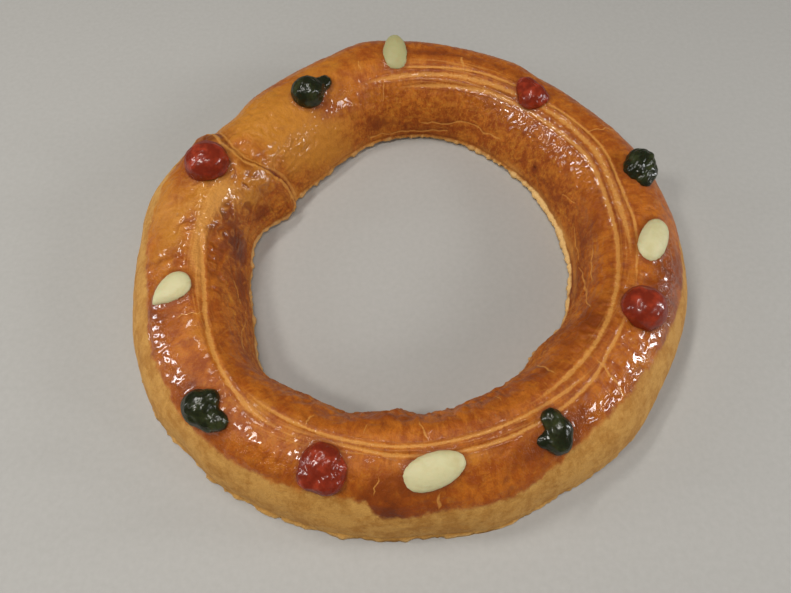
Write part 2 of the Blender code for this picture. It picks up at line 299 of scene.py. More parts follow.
# %% [markdown]
# ## Stretched strands along the crest
#
# As the ring rises in the oven its crest stretches, and the browned outside tears along long lines
# that show pale dough. They could be thin curves on top, but a tear is a shallow dip with a paler
# bottom, so relief and colour both come from one distance. The skin keeps that distance, not the
# colour: it changes evenly from point to point, so the material can draw from it an edge much finer
# than the mesh. Lines that never meet share one distance.

# %% The long strands
# group, half-width in mm, depth in mm, and the line's places: heading, section angle
STRANDS = (
    (0, 0.60, 0.40, (
        (336, 86), (347, 88.3), (360, 87.6), (366, 90.3), (373, 90), (379, 87.8), (384, 86.7),
        (390, 87.5), (398, 90.3), (406, 93), (419, 94.7), (428, 96.7), (435, 99.7), (443, 101.7),
        (450, 102.5), (460, 103),
    )),
    (0, 0.65, 0.35, (
        (228, 94), (236, 90.8), (243, 89.2), (250, 87), (258, 85), (265, 83), (273, 82),
        (288, 82.5), (303, 83.7), (318, 84),
    )),
    (1, 1.10, 0.35, (
        (346, 92.5), (360, 95.8), (366, 97), (373, 96.7), (379, 95), (384, 94.3), (390, 95.8),
        (404, 99), (419, 103.3), (428, 105.8), (435, 107.5), (443, 110), (450, 111.7), (458, 112.5),
        (468, 111),
    )),
    (1, 0.70, 0.35, (
        (246, 83.5), (258, 80.8), (265, 76.3), (273, 74.2), (280, 73.3), (288, 73.3), (295, 74.2),
        (305, 75.8), (313, 78.3), (320, 84), (328, 86.3), (338, 88),
    )),
    (2, 0.90, 0.35, (
        (295, 88.5), (305, 90.7), (311, 92.5), (324, 95.8), (330, 98.3), (343, 102), (349, 103.3),
        (360, 105), (368, 105.7), (380, 103), (385, 103), (391, 105.8), (398, 108.3), (404, 110.8),
        (418, 113.3), (425, 114), (430, 117.5), (445, 122.5), (456, 124),
    )),
    (2, 0.90, 0.40, (
        (174, 88), (180, 94), (186, 101.7), (193, 105.8), (199, 107.5), (205, 106), (211, 102),
        (218, 96.5), (224, 91.5), (230, 86.6), (235, 82.5), (247, 78.5),
    )),
)
STRAND_TAPER = 14.0
STRAND_DIP = 1.1
BANK_HEIGHT = 0.4
BANK_AWAY = 2.0
BANK_WIDTH = 0.7

relief = np.zeros_like(reach)
strands = [empty_group() for _ in range(3)]
for group, half_width, depth, places in STRANDS:
    level, inside = line_angle(places)
    away, opening = tapered((angle - level) * mm_per_degree, inside, half_width, STRAND_TAPER)
    draw_line(strands[group], away, opening)
    banks = BANK_HEIGHT * bell(np.abs(away) - BANK_AWAY, BANK_WIDTH)
    relief += depth * opening * (banks - bell(away, STRAND_DIP))
print("strands open over", [cover(group["open"]) for group in strands])

# %% Fine threads between the strands
# heading, angle, half-width in heading, half-width in angle, strength
THREADS = ((76, 108, 26, 15, 1.0), (25, 97, 30, 8, 0.8), (285, 79, 34, 7, 0.7), (205, 100, 22, 9, 0.7),
           (335, 96, 22, 7, 0.6), (245, 80, 14, 7, 0.8), (60, 92, 20, 6, 0.7), (176, 95, 9, 12, 0.8))
THREAD_HEIGHT = 0.22

threaded = np.clip(total_of(THREADS), 0.0, 1.0)
relief += THREAD_HEIGHT * threaded * stretched_noise(26.0, 0.9, seed=7.0)
print("threads run over", cover(threaded))

# %% [markdown]
# ## Short tears across the roll
#
# Where the roll bends, the crust also splits across, in short hairlines. Each is a heading, the
# section angles between which it runs, and a lean. A few more wander over the hole's side.

# %% Short tears
# heading, from angle, to angle, lean in degrees of heading, half-width in mm
TEARS = (
    (30.0, 43, 90, 2.0, 0.35), (24.0, 82, 94, 0.5, 0.25), (74.5, 80, 99, -0.8, 0.5),
    (105.0, 82, 99, 0.4, 0.35), (272.0, 84, 106, -1.6, 0.35), (274.2, 30, 47, 0.3, 0.45),
    (246.3, 88, 104, 0.6, 0.35), (307.3, 97, 128, 1.0, 0.40), (315.8, 50, 88, 1.0, 0.40),
    (292.0, 100, 118, -0.5, 0.20), (259.0, 90, 104, 0.5, 0.25), (263.0, 44, 62, 0.8, 0.25),
    (207.0, 78, 104, 1.5, 0.25), (66.0, 103, 122, 1.6, 0.30), (99.0, 112, 140, 0.8, 0.25),
)
LEAN_WOBBLE = 0.7

sway = stretched_noise(30.0, 3.0, seed=5.0)
tears = []
for at, low, high, lean, half_width in TEARS:
    line = at + lean * (angle - 0.5 * (low + high)) / (high - low) + LEAN_WOBBLE * sway
    inside = np.minimum(angle - low, high - angle) * mm_per_degree
    tears.append((turn(heading, line) * mm_per_heading, inside, half_width))

# half-width in mm, and the tear's places: heading, section angle
WANDERING_TEARS = (
    (0.45, ((331, 114), (337, 136), (341, 140), (349, 155), (353, 167))),
    (0.35, ((342, 131), (348, 135), (356, 133))),
    (0.35, ((354, 161), (360, 165), (368, 158))),
    (0.35, ((373, 138), (377, 146), (381, 153))),
    (0.45, ((413, 158), (420, 162.5), (428, 157), (435, 166), (446, 171))),
    (0.40, ((203, 172), (209, 163), (214, 142), (219, 133))),
    (0.35, ((192, 138), (198, 150), (204, 160))),
    (0.35, ((142, 122), (145, 123), (149, 125), (151, 131), (152, 139))),
    (0.45, ((74, 177), (84, 184), (92, 185), (100, 181), (107, 184))),
)
WANDER_WOBBLE = 1.6
for half_width, places in WANDERING_TEARS:
    level, inside = line_angle(places)
    away = (angle - level) * mm_per_degree + WANDER_WOBBLE * fine_wobble
    tears.append((away, inside * mm_per_heading, half_width))

TEAR_TAPER = 2.5
TEAR_DEPTH = 0.28
TEAR_DIP = 1.3
tear_group = empty_group()
for away, inside, half_width in tears:
    away, opening = tapered(away, inside, half_width, TEAR_TAPER)
    draw_line(tear_group, away, opening)
    relief -= TEAR_DEPTH * opening * bell(away, TEAR_DIP)
print(len(tears), "short tears")

# %% [markdown]
# ## The seam
#
# One end of the roll lies over the other. Its edge is rolled into a thin pale lip, with a dark groove
# in front of it that opens towards the hole. The measured model has the step and the tongue. Here the
# edge is sharpened: over the crest it is a mere crease, and where the groove opens, lip and groove
# both grow.

# %% Sharpen the seam
SEAM_HEADING = 151.0
SEAM_BOW = 6.0
SEAM_BOW_ANGLE = 103.0
SEAM_BOW_WIDTH = 32.0
SEAM_WOBBLE = 0.5
SEAM_STARTS = (30.0, 60.0)
SEAM_OPENS = (108.0, 140.0)
# sizes in mm; a pair is the size over the crest and how much more it is where the seam is open
LIP_HEIGHT = (0.35, 0.45)
LIP_WIDTH = (0.8, 0.5)
LIP_PLACE = 0.9
GROOVE_DEPTH = (0.18, 0.67)
GROOVE_WIDTH = (0.7, 1.1)
GROOVE_PLACE = (0.9, 0.5)


def opened(closed, more):
    """A size that grows from its closed value as the seam opens towards the hole."""
    return closed + more * seam_open


seam_line = SEAM_HEADING + SEAM_BOW * bell(angle - SEAM_BOW_ANGLE, SEAM_BOW_WIDTH)
past_seam = turn(heading, seam_line) * mm_per_heading + SEAM_WOBBLE * fine_wobble
seam_open = ease(angle, *SEAM_OPENS)
seam_shown = ease(angle, *SEAM_STARTS) * (~is_base)
lip = bell(past_seam - LIP_PLACE, opened(*LIP_WIDTH)) * seam_shown
groove = bell(past_seam + opened(*GROOVE_PLACE), opened(*GROOVE_WIDTH)) * seam_shown
relief += opened(*LIP_HEIGHT) * lip - opened(*GROOVE_DEPTH) * groove
print("seam bows round to heading", round(float(seam_line.max()), 1))

# %% [markdown]
# ## Where the glaze ends
#
# The syrup was brushed over the top and ran down unevenly. Below its edge the outer side stays matt
# and pale. The edge is a line like the strands, but ragged, and the film ends there in a small step.

# %% The edge of the glaze
# heading, section angle
GLAZE_EDGE = (
    (160, 40), (174, 45), (180, 42), (187, 50), (196, 55), (201, 54), (205, 49), (213, 46), (218, 46),
    (223, 39), (230, 40.5), (236, 38.5), (248, 41), (261, 40), (264, 24), (270, 23.5), (273, 29),
    (286, 27.5), (291, 31), (295, 38), (300, 43), (305, 47.5), (311, 50), (318, 51), (324, 50),
    (330, 46.7), (336, 43), (340, 40), (350, 37), (355, 34), (360, 29), (370, 18), (390, 8),
    (430, 6), (460, 12), (480, 24), (500, 34), (520, 40),
)
EDGE_BLUR = 1.2
EDGE_WOBBLE = 0.8
EDGE_RUNS = 1.3
BELOW_GLAZE = -9.0
DEEP_IN_GLAZE = 30.0
FILM_STARTS = (-0.5, 0.8)
FILM_THICKNESS = 0.10
FOOT_LIP_HEIGHTS = (1.0, 4.6)

edge_angle, _ = line_angle(GLAZE_EDGE, EDGE_BLUR)
above_edge = (angle - edge_angle) * mm_per_degree + EDGE_WOBBLE * fine_wobble
above_edge += EDGE_RUNS * stretched_noise(2.6, 14.0, seed=9.0)
above_edge = np.where(is_base, BELOW_GLAZE, np.clip(above_edge, BELOW_GLAZE, DEEP_IN_GLAZE))
glaze = ease(above_edge, *FILM_STARTS)
inner_foot = ease(angle, 120.0, 150.0) * (1.0 - ease(above_ground, *FOOT_LIP_HEIGHTS))
relief += FILM_THICKNESS * glaze
print("glaze covers", cover(glaze))

# %% [markdown]
# ## Browning and painted shade
#
# Sugar and crust brown unevenly: darker just above the glaze's edge and in patches, lighter where the
# dough was dry. Each patch has its place on the ring, and noise breaks it up. The same mask also holds
# painted shade: in the seam's groove, in the folds, in pits and above the rim at the foot.

# %% Browning, painted shade in the seam's groove, gold and bare streaks
BROWN_PATCHES = (
    (182, 145, 6, 24, 1.0), (176, 118, 4, 14, 0.4), (100, 172, 9, 16, 0.2), (84, 178, 9, 12, 0.25),
    (36, 160, 1.2, 7, 0.9), (84, 82, 9, 8, 0.5), (60, 78, 14, 7, 0.3), (105, 165, 5, 22, 0.2),
    (266, 52, 6, 20, 0.6), (266, 30, 3.5, 8, 0.6), (290, 56, 8, 10, 0.3), (302, 62, 6, 12, 0.6),
    (203, 70, 7, 14, 0.3), (166, 160, 5, 20, 0.45), (48, 125, 16, 14, 0.15), (2, 140, 8, 30, 0.4),
    (345, 165, 10, 22, 0.4), (340, 66, 8, 14, 0.7), (352, 50, 9, 12, 0.5), (196, 160, 8, 16, 0.5),
    (20, 155, 9, 18, 0.35), (324, 112, 12, 14, 0.4), (300, 112, 12, 10, 0.3), (225, 56, 8, 12, 0.5),
    (70, 172, 8, 14, 0.25), (262, 112, 12, 9, 0.3), (155, 55, 8, 14, 0.5), (152, 68, 6, 10, 0.4),
    (171, 66, 7, 12, 0.35), (192, 84, 8, 7, 0.3), (320, 150, 9, 20, 0.25),
)
GOLDEN_PATCHES = (
    (138, 100, 15, 60, 1.0), (124, 160, 14, 30, 0.8), (148, 60, 9, 26, 0.6), (172, 92, 9, 14, 0.8),
    (184, 72, 12, 16, 0.8), (172, 45, 10, 14, 0.9), (164, 122, 9, 22, 0.75), (236, 88, 14, 10, 0.35),
    (112, 82, 12, 22, 0.5), (218, 96, 12, 9, 0.3), (280, 68, 7, 9, 0.5), (56, 150, 9, 14, 0.3),
    (100, 118, 9, 10, 0.4), (60, 116, 8, 10, 0.3),
)
BARE_STREAKS = (
    (172, 103, 6, 7, 1.1), (183, 98, 9, 5, 1.0), (190, 101, 6, 3, 0.6), (168, 116, 2.2, 9, 0.5),
    (177, 60, 5, 12, 0.5), (196, 103, 8, 3, 0.5), (156, 86, 2, 14, 0.5), (10, 186, 9, 6, 1.0),
    (28, 188, 6, 5, 0.7), (44, 186, 5, 6, 0.8), (2, 178, 4, 7, 0.5), (122, 186, 12, 5, 0.5),
    (58, 187, 4, 5, 0.4), (172, 178, 4, 8, 0.4), (150, 182, 3, 10, 0.7), (345, 172, 5, 6, 0.4),
    (352, 178, 6, 5, 0.5),
)
BLOTCH_STRENGTH = 0.25
RUN_BROWNING = 0.15
RUN_ABOVE_EDGE = 2.2
RUN_WIDTH = 2.4
GROOVE_SHADE = 0.7
GROOVE_SHADE_OPENING = (0.35, 0.65)
GOLD_BLOTCHES = 0.35

blotches = stretched_noise(8.0, 9.0, seed=12.0)
browning_and_shade = total_of(BROWN_PATCHES) + BLOTCH_STRENGTH * broad_wobble + BLOTCH_STRENGTH * blotches
browning_and_shade += RUN_BROWNING * bell(above_edge - RUN_ABOVE_EDGE, RUN_WIDTH) * glaze
# the seam's groove is darkened, more as it opens: painted shade
browning_and_shade += GROOVE_SHADE * groove * opened(*GROOVE_SHADE_OPENING)
gold = total_of(GOLDEN_PATCHES) + GOLD_BLOTCHES * soft_noise(9.0, seed=15.0)
bare = total_of(BARE_STREAKS)
print("browning_and_shade", round(float(browning_and_shade.mean()), 2), "gold", round(float(gold.mean()), 2))

# %% [markdown]
# ## Wrinkles in the glaze
#
# Syrup dries to a thin film that crinkles, and each crinkle throws back a speck of light. The broad
# wrinkles are shaped here. The finest, under half a millimetre, are left to the material, which reads
# how strong they are from this mask.

# %% Wrinkles
CRINKLED_PATCHES = (
    (19, 112, 10, 9, 1.0), (34, 114, 13, 8, 1.0), (54, 128, 13, 15, 1.0), (100, 127, 8, 13, 1.0),
    (135, 137, 4.5, 9, 1.0), (117, 125, 8, 12, 0.4), (158, 128, 6, 14, 0.8), (166, 108, 6, 12, 0.5),
    (208, 62, 8, 11, 1.0), (238, 54, 11, 11, 1.0), (302, 62, 9, 11, 1.0), (320, 59, 14, 11, 1.0),
    (285, 58, 9, 14, 0.4), (346, 62, 12, 15, 0.9), (352, 128, 12, 20, 0.3), (252, 60, 6, 12, 0.5),
    (10, 130, 10, 14, 0.35), (196, 62, 6, 10, 0.5), (222, 60, 7, 10, 0.7), (192, 80, 8, 12, 0.3),
    (68, 124, 7, 9, 0.9), (180, 150, 9, 16, 0.5), (205, 88, 6, 8, 0.4), (112, 112, 5, 8, 0.8),
    (178, 102, 13, 30, 0.30), (150, 112, 9, 26, 0.30), (85, 118, 8, 9, 0.4),
)
CRINKLED_ANYWHERE = 0.06
CRINKLE_HEIGHT = 0.15
DENT_DEPTH = 0.12
RIPPLE_HEIGHT = 0.12

crinkle = np.clip(CRINKLED_ANYWHERE + total_of(CRINKLED_PATCHES), 0.0, 1.0) * glaze
relief += CRINKLE_HEIGHT * crinkle * stretched_noise(1.4, 2.0, seed=21.0)
relief += DENT_DEPTH * crinkle * soft_noise(1.3, seed=25.0)
relief += RIPPLE_HEIGHT * glaze * stretched_noise(4.0, 6.0, seed=23.0)
print("crinkled", cover(crinkle))

# %% [markdown]
# ## Lumps and folds
#
# Under all of this the dough is soft and lumpy. Near the seam and at the near right it was also
# pushed together, and its skin lies in folds: a fold is where a noise passes through zero, which
# gives a thin ridge with round valleys beside it. Towards the hole the near side is craggy.

# %% Lumps, folds and crags
LUMP_HEIGHT = 0.40
KNOB_HEIGHT = 0.15
PIMPLE_HEIGHT = 0.12
FOLD_HEIGHT = 1.1
FOLD_TOP = 0.30
FOLDED_ANYWHERE = 0.35
SEAM_FOLDS = (168.0, 30.0)
RIGHT_FOLDS = (330.0, 25.0)
RIGHT_FOLD_SHARE = 0.6
RUMPLED = (172.0, 105.0, 22.0, 42.0)
FOLD_BARENESS = 0.75
FOLD_LINE = 0.05
VALLEY_SHADE = 0.6
VALLEY = (0.05, 0.5)
CRAG_STARTS = (96.0, 112.0)
CRAG_ENDS = (150.0, 180.0)
CRAGGY_SIDE = (270.0, 45.0)
CRAG_HEIGHT = 1.3
SMALL_CRAG_HEIGHT = 0.7

relief += LUMP_HEIGHT * broad_wobble + KNOB_HEIGHT * fine_wobble
relief += PIMPLE_HEIGHT * soft_noise(2.6, seed=37.0)
crease = stretched_noise(9.0, 4.5, seed=51.0) + 0.25 * stretched_noise(3.0, 1.6, seed=53.0)
folded = FOLDED_ANYWHERE + about(*SEAM_FOLDS) + RIGHT_FOLD_SHARE * about(*RIGHT_FOLDS)
relief += FOLD_HEIGHT * np.clip(folded, 0.0, 1.0) * glaze * (FOLD_TOP - np.abs(crease))
rumpled = patch(*RUMPLED)
bare += FOLD_BARENESS * rumpled * bell(crease, FOLD_LINE)
# one flank of each fold is darkened into its valley: painted shade
browning_and_shade += VALLEY_SHADE * rumpled * ease(-crease, *VALLEY)
crags = ease(angle, *CRAG_STARTS) * (1.0 - ease(angle, *CRAG_ENDS)) * about(*CRAGGY_SIDE)
big_crags = CRAG_HEIGHT * stretched_noise(5.0, 16.0, seed=41.0)
relief += crags * (big_crags + SMALL_CRAG_HEIGHT * stretched_noise(2.2, 9.0, seed=43.0))
print("folds in", cover(folded))

# %% [markdown]
# ## The foot
#
# Where the roll meets the tray, thin layers of dough stand out like the edge of torn paper: ragged
# outside, and on the hole's side as a pale rim with a dark line of painted shade above it. One torn
# noise raises them and says where they are pale, so that form and colour agree. The rim's colour is
# its own pale dough, made lighter still as painted light.

# %% Flakes and rim at the foot
# height above the table and half-width, in mm
FLAKE_BAND = (1.1, 1.5)
UNDERCUT_BAND = (3.4, 1.0)
UNDERCUT_DEPTH = 0.35
# even part, torn part, least and most
FLAKES = (0.4, 1.5, -0.1, 1.4)
OUTER_PALENESS = (0.3, 1.4, 0.0, 0.8)
LIP_FLAKE = 0.8
LIP_FLAKE_EVEN = 0.6
INNER_LIP_STARTS = (150.0, 175.0)
INNER_LIP_BASE = 0.45
INNER_LIP_AT = (18.0, 36.0)
RIM_ANGLE = 192.5
RIM_DROP = 3.5
RIM_DROP_AT = (16.0, 14.0)
RIM_TORN = 4.5
RIM_REACH = 0.75
RIM_FRAY = 3.0
RIM_RISE = 6.0
RIM_SHOWS = (-1.0, 3.0)
RIM_LINE_SHADE = 0.30
RIM_LINE_BELOW = 4.0
RIM_LINE_WIDTH = 3.0
OUTER_RIM = (0.8, 2.2)

torn = stretched_noise(5.0, 60.0, seed=31.0) + 0.5 * stretched_noise(1.8, 40.0, seed=33.0)


def ragged(even, uneven, least, most):
    """An amount that follows the torn noise, kept between two limits."""
    return np.clip(even + uneven * torn, least, most)


def band(height, half_width):
    """1 at a height above the table, fading to both sides."""
    return bell(above_ground - height, half_width)


inner_lip = ease(angle, *INNER_LIP_STARTS) * (INNER_LIP_BASE + about(*INNER_LIP_AT))
lip_flakes = LIP_FLAKE * inner_lip * (LIP_FLAKE_EVEN + torn)
relief += band(*FLAKE_BAND) * (ragged(*FLAKES) + lip_flakes)
rim_from = RIM_ANGLE - RIM_DROP * about(*RIM_DROP_AT) - RIM_TORN * torn
reaching = ease(angle - rim_from - RIM_FRAY * torn, 0.0, RIM_RISE)
relief += RIM_REACH * reaching * inner_lip
low_outside = (1.0 - ease(above_ground, *OUTER_RIM)) * (~is_base) * ragged(*OUTER_PALENESS)
rim = np.clip(ease(angle - rim_from, *RIM_SHOWS) * inner_lip + low_outside, 0.0, 1.0)
# a dark line where the lip meets the wall: painted shade
browning_and_shade += RIM_LINE_SHADE * bell(angle - rim_from + RIM_LINE_BELOW, RIM_LINE_WIDTH) * inner_lip
relief -= UNDERCUT_DEPTH * band(*UNDERCUT_BAND)
print("pale rim on", cover(rim))

# %% Pits
# heading, section angle, size in degrees, depth in mm
PITS = ((26.0, 152, 0.8, 0.5), (36.0, 160, 0.8, 0.9), (171.0, 112, 0.9, 0.3))
PIT_LENGTHENING = 1.3
PIT_SHADE_SPREAD = 1.3

for at_heading, at_angle, size, depth in PITS:
    far = np.hypot(turn(heading, at_heading) * PIT_LENGTHENING, (angle - at_angle) * SECTION_MM)
    relief -= depth * bell(far, size)
    # each pit and a ring round it are darkened: painted shade
    browning_and_shade = np.maximum(browning_and_shade, depth * bell(far, PIT_SHADE_SPREAD * size))
# the flat base stays as it is
relief *= ~is_base
print("relief from", round(relief.min(), 2), "to", round(relief.max(), 2), "mm")

# %% [markdown]
# ## Syrup round the fruit
#
# The cherries and almonds were pressed on while the glaze was wet, and it climbs a little up their
# sides. The skin is lifted near each of them, which also closes the thin gap that the measured model
# keeps under them.

# %% Lift the glaze to the toppings
TOPPINGS = sorted(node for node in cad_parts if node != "pastry_ring")
CLIMB = 0.5
CLIMB_WIDTH = 0.8
WET_WIDTH = 1.5
FAR_AWAY = 9.0
SEARCH_MARGIN = 6.0 * MM

skin_points = (smooth_roll + relief[..., None] * outward_normals) * MM
nearness = np.full(heading.shape, FAR_AWAY)
for node in TOPPINGS:
    low, high = (np.array(corner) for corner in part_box(node))
    inside = (skin_points > low - SEARCH_MARGIN) & (skin_points < high + SEARCH_MARGIN)
    tree = surface_of(node)
    for i, j in zip(*np.nonzero(inside.all(-1))):
        nearness[i, j] = min(nearness[i, j], tree.find_nearest(Vector(skin_points[i, j]))[3] / MM)
climb = CLIMB * bell(nearness, CLIMB_WIDTH)
wet = bell(nearness, WET_WIDTH)
print("skin touches a topping at", int((nearness < 1.0).sum()), "points")

# %% [markdown]
# ## The skin as a mesh
#
# The grid closes both ways, so its faces follow from two rolled tables of numbers. The masks ride on
# the points as attributes, and the material reads them by name. The point's place on the unrolled
# dough is kept too, for marks that run along the roll.

# %% Make the skin
def mesh_from_grid(name, points):
    """A closed mesh from a grid that wraps both ways."""
    rows, columns = points.shape[:2]
    index = np.arange(rows * columns).reshape(rows, columns)
    after = np.roll(index, -1, 0)
    faces = np.stack([index, after, np.roll(after, -1, 1), np.roll(index, -1, 1)], axis=-1)
    mesh = bpy.data.meshes.new(name)
    mesh.from_pydata(points.reshape(-1, 3).tolist(), [], faces.reshape(-1, 4).tolist())
    mesh.shade_smooth()
    return mesh


def store(mesh, name, values, kind="FLOAT", field="value"):
    """Keep a number or a place for each point under a name that a material can read."""
    mesh.attributes.new(name, kind, "POINT").data.foreach_set(field, values.ravel())


def new_object(name, data):
    """An object in the scene."""
    made = bpy.data.objects.new(name, data)
    bpy.context.scene.collection.objects.link(made)
    return made


skin_points = (smooth_roll + (relief + climb)[..., None] * outward_normals) * MM
skin_points[..., 2] = np.maximum(skin_points[..., 2], 0.0)
skin_mesh = mesh_from_grid("glazed_roll", skin_points)
SEAM_COUNTED = (1.0, 0.8)
INNER_SIDE_STARTS = (110.0, 145.0)
masks = {
    "edge": above_edge, "seam": np.clip(past_seam / opened(*SEAM_COUNTED), -NO_LINE, NO_LINE),
    "seam_shown": seam_shown, "inner_side": ease(angle, *INNER_SIDE_STARTS) * (~is_base),
    "threaded": threaded, "browning_and_shade": browning_and_shade, "gold": gold, "bare": bare, "crinkle": crinkle,
    "wet": wet, "rim": rim, "foot": np.maximum(inner_foot, is_base),
}
STRAND_NAMES = ("strand_1", "strand_2", "strand_3")
for line_name, group in zip((*STRAND_NAMES, "tear"), (*strands, tear_group)):
    masks[line_name] = group["away"]
    masks[line_name + "_open"] = group["open"]
for mask_name, values in masks.items():
    store(skin_mesh, mask_name, values)
unrolled = np.stack([
    CREST_RADIUS * np.cos(np.radians(heading)), CREST_RADIUS * np.sin(np.radians(heading)),
    (angle - 90.0) * SECTION_MM,
], axis=-1)
store(skin_mesh, "unrolled", unrolled, "FLOAT_VECTOR", "vector")
skin = new_object("glazed_roll", skin_mesh)
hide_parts("pastry_ring")
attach(skin, "root")
print("skin has", len(skin_mesh.polygons), "faces")

# %% [markdown]
# ## Fruit and nuts
#
# A candied cherry is a soaked, folded skin, an almond half is almost smooth. Each starts as its
# measured form, which is remeshed to fine even faces and relaxed, and then gets its own wrinkles by
# moving points along their normals.

# %% Fine meshes of the toppings
WELD = 0.01 * MM
RELAX_TIMES = 5
RELAX_SHARE = 0.6
FOLD_STRETCH = 2.2
FOLD_TOP_LEVEL = 0.35


def fine_copy(node, voxel):
    """A dense, relaxed copy of a measured piece."""
    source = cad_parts[node].data.copy()
    welded = bmesh.new()
    welded.from_mesh(source)
    bmesh.ops.remove_doubles(welded, verts=welded.verts, dist=WELD)
    welded.to_mesh(source)
    welded.free()
    piece = new_object(node + "_look", source)
    remesh = piece.modifiers.new("fine", "REMESH")
    remesh.mode = "VOXEL"
    remesh.voxel_size = voxel * MM
    relax = piece.modifiers.new("relax", "SMOOTH")
    relax.iterations = RELAX_TIMES
    relax.factor = RELAX_SHARE
    bpy.context.view_layer.update()
    relaxed = piece.evaluated_get(bpy.context.evaluated_depsgraph_get())
    made = bpy.data.meshes.new_from_object(relaxed)
    piece.modifiers.clear()
    piece.data = made
    made.name = node + "_look"
    made.shade_smooth()
    return piece


def wrinkle(piece, layers, seed):
    """Push the points by layers of noise: size and depth in mm, sharp or soft, heading of the folds."""
    mesh = piece.data
    pushes = np.zeros(len(mesh.vertices))
    for size, depth, sharp, along in layers:
        to_folds = Matrix.Rotation(math.radians(-along), 3, "Z")
        for index, vertex in enumerate(mesh.vertices):
            place = to_folds @ vertex.co / (size * MM)
            value = noise.noise(Vector((place.x / FOLD_STRETCH + seed, place.y, place.z)))
            pushes[index] += depth * ((FOLD_TOP_LEVEL - abs(value)) if sharp else value)
    moved = [vertex.co + vertex.normal * push * MM for vertex, push in zip(mesh.vertices, pushes)]
    mesh.vertices.foreach_set("co", np.array(moved).ravel())
    mesh.update()


FRUIT_VOXEL = 0.38
NUT_VOXEL = 0.40
# for each layer: size and depth in mm, sharp or soft, heading of the folds
NUT_WRINKLES = ((4.0, 0.20, False, 0), (1.5, 0.04, False, 0))
CHERRY_WRINKLES = {
    "red_cherry_1": ((3.4, 0.35, False, 20), (1.6, 0.10, True, 20)),
    "red_cherry_2": ((2.4, 0.30, False, 120), (1.2, 0.22, True, 120)),
    "red_cherry_3": ((4.0, 0.30, False, 60), (1.6, 0.08, False, 60)),
    "red_cherry_4": ((2.6, 0.45, False, 50), (1.3, 0.30, True, 110)),
    "green_cherry_1": ((2.6, 0.45, False, 70), (1.3, 0.22, True, 70)),
    "green_cherry_2": ((1.9, 0.60, False, 45), (1.1, 0.25, True, 45)),
    "green_cherry_3": ((2.4, 0.30, False, 105), (1.1, 0.22, True, 60)),
    "green_cherry_4": ((2.0, 0.32, False, 95), (1.1, 0.16, True, 95)),
}
looks = {}
for number, node in enumerate(TOPPINGS):
    is_nut = node.startswith("almond")
    piece = fine_copy(node, NUT_VOXEL if is_nut else FRUIT_VOXEL)
    wrinkle(piece, NUT_WRINKLES if is_nut else CHERRY_WRINKLES[node], seed=3.0 * number)
    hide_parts(node)
    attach(piece, "root")
    looks[node] = piece
    print(node, len(piece.data.polygons), "faces")

# %% [markdown]
# ## Writing shaders as sums
#
# A material is a tree of nodes. Wired by hand in code it takes a line for each link, and the idea is
# lost. One small class lets a socket take part in Python sums, and each sum adds its Math node.

# %% A socket that can do sums
class Shade:
    """A number or a colour inside one material."""

    def __init__(self, tree, socket=None):
        self.tree = tree
        self.socket = socket

    def node(self, kind, settings, inputs, output=0):
        """Add a node: its settings first, then values or links for its sockets."""
        made = self.tree.nodes.new("ShaderNode" + kind)
        for name, value in settings.items():
            setattr(made, name, value)
        for name, value in inputs.items():
            if isinstance(value, Shade):
                self.tree.links.new(value.socket, made.inputs[name])
            else:
                made.inputs[name].default_value = value
        return Shade(self.tree, made.outputs[output])

    def sum_with(self, operation, first, second):
        """Add a Math node for one step of a sum."""
        return self.node("Math", {"operation": operation}, {0: first, 1: second})

    def __add__(self, other):
        return self.sum_with("ADD", self, other)

    __radd__ = __add__

    def __sub__(self, other):
        return self.sum_with("SUBTRACT", self, other)

    def __rsub__(self, other):
        return self.sum_with("SUBTRACT", other, self)

    def __mul__(self, other):
        return self.sum_with("MULTIPLY", self, other)

    __rmul__ = __mul__

    def __abs__(self):
        return self.node("Math", {"operation": "ABSOLUTE"}, {0: self})

    def clamped(self):
        """The same number, kept between 0 and 1."""
        return self.node("Clamp", {}, {"Value": self})

    def rising(self, low, high):
        """0 below low, 1 above high, smooth in between."""
        return self.node("MapRange", {"interpolation_type": "SMOOTHSTEP"},
                         {"Value": self, "From Min": low, "From Max": high})

    def falling(self, low, high):
        """1 below low, 0 above high, smooth in between."""
        return 1.0 - self.rising(low, high)

    def swinging(self, size):
        """Noise from 0 to 1 made to swing evenly about 0, over a size in all."""
        return (self - 0.5) * size


def mixed(share, under, over):
    """One colour over another, by a share."""
    return share.node("Mix", {"data_type": "RGBA"}, {0: share, 6: under, 7: over}, output=2)


def new_material(name, **constants):
    """A material with its Principled shader's constant sockets set, ready for links."""
    material = bpy.data.materials.new(name)
    material.use_nodes = True
    shader = material.node_tree.nodes["Principled BSDF"]
    for socket_name, value in constants.items():
        shader.inputs[socket_name.replace("_", " ")].default_value = value
    return material, shader, Shade(material.node_tree)


def link(value, shader, socket_name):
    """Feed one socket of the Principled shader."""
    value.tree.links.new(value.socket, shader.inputs[socket_name])


def read(tools, name):
    """A mask that rides on the mesh."""
    return tools.node("Attribute", {"attribute_name": name}, {}, output=2)


def own_place(tools):
    """The place on the piece, in m, which stays with the piece when it moves."""
    return tools.node("TexCoord", {}, {}, output=3)


def marks(tools, around, across):
    """The place on the unrolled dough, counted in marks of a size in mm round and across it."""
    place = tools.node("Attribute", {"attribute_name": "unrolled"}, {}, output=1)
    return tools.node("VectorMath", {"operation": "MULTIPLY"},
                      {0: place, 1: (1.0 / around, 1.0 / around, 1.0 / across)})


def noise_of(tools, place, scale, detail=3.0, roughness=0.55, distortion=0.0):
    """Noise between 0 and 1 at a place."""
    return tools.node("TexNoise", {}, {"Vector": place, "Scale": scale, "Detail": detail,
                                       "Roughness": roughness, "Distortion": distortion})


def dough_noise(tools, around, across, *settings):
    """Noise with marks of a size in mm round the ring and across the roll."""
    return noise_of(tools, marks(tools, around, across), 1.0, *settings)


